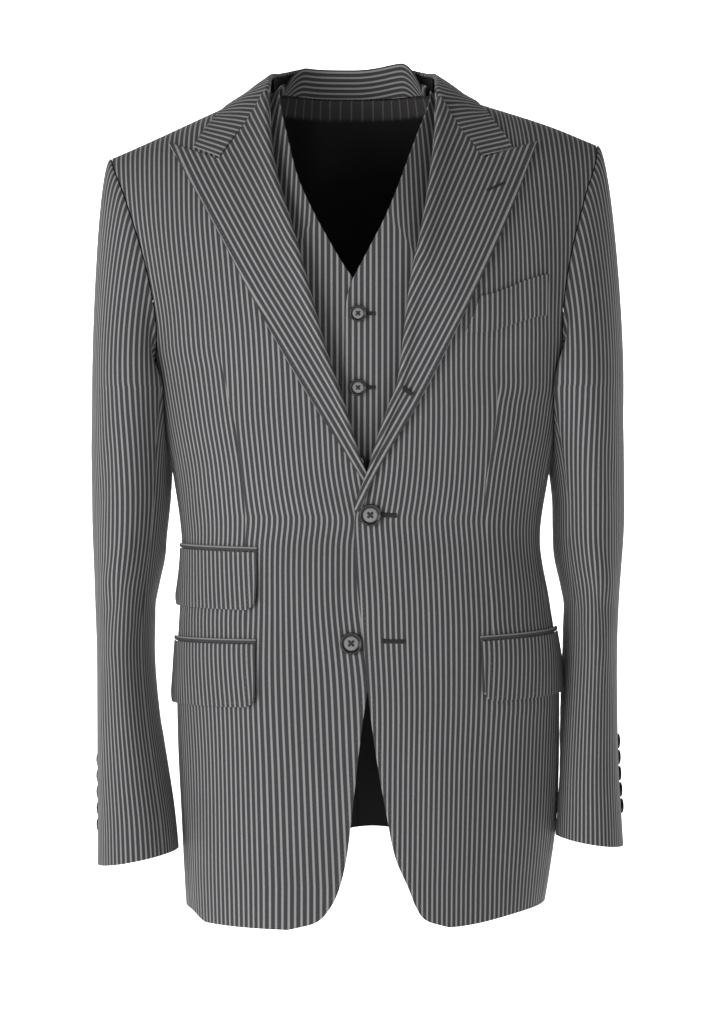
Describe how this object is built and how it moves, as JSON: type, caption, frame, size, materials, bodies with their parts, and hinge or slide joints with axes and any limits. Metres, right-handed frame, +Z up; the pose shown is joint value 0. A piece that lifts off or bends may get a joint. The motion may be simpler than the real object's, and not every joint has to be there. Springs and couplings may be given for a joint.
{
  "type": "suit jacket over waistcoat",
  "caption": "Striped single-breasted suit jacket with peak lapels, buttoned over its matching waistcoat, filled out as if worn, with flap pockets, chest pocket and open neck, cuffs and hem.",
  "frame": {"origin": "middle of the neck opening, level with the foot of the neck, where the wearer's shoulders carry the suit", "axes": "+Z up along the wearer, -Y out of the front, +X towards the wearer's left"},
  "size_m": [0.4834, 0.242, 0.7778],
  "materials": {
    "striped_wool": "matte worsted wool, dark grey with close light stripes",
    "lining_satin": "dark satin lining with a sparse fine stripe",
    "horn_buttons": "polished dark horn"
  },
  "bodies": {
    "root": {"cuff_button_left_1": "horn_buttons", "cuff_button_left_2": "horn_buttons", "cuff_button_left_3": "horn_buttons", "cuff_button_left_4": "horn_buttons", "cuff_button_left_5": "horn_buttons", "cuff_button_right_1": "horn_buttons", "cuff_button_right_2": "horn_buttons", "cuff_button_right_3": "horn_buttons", "cuff_button_right_4": "horn_buttons", "cuff_button_right_5": "horn_buttons", "jacket_back_left": "striped_wool", "jacket_back_right": "striped_wool", "jacket_breast_welt": "striped_wool", "jacket_button_lower": "horn_buttons", "jacket_button_middle": "horn_buttons", "jacket_collar_fall": "striped_wool", "jacket_collar_stand": "lining_satin", "jacket_flap_left": "striped_wool", "jacket_flap_right": "striped_wool", "jacket_flap_ticket": "striped_wool", "jacket_front_left": "striped_wool", "jacket_front_right": "striped_wool", "jacket_jetting_left": "striped_wool", "jacket_jetting_right": "striped_wool", "jacket_jetting_ticket": "striped_wool", "jacket_lapel_left": "striped_wool", "jacket_lapel_right": "striped_wool", "jacket_side_left": "striped_wool", "jacket_side_right": "striped_wool", "jacket_sleeve_top_left": "striped_wool", "jacket_sleeve_top_right": "striped_wool", "jacket_sleeve_under_left": "striped_wool", "jacket_sleeve_under_right": "striped_wool", "vest_back": "lining_satin", "vest_button_1": "horn_buttons", "vest_button_2": "horn_buttons", "vest_button_3": "horn_buttons", "vest_button_4": "horn_buttons", "vest_button_5": "horn_buttons", "vest_front_left": "striped_wool", "vest_front_right": "striped_wool", "vest_neckband_left": "striped_wool", "vest_neckband_right": "striped_wool"}
  },
  "joints": []
}
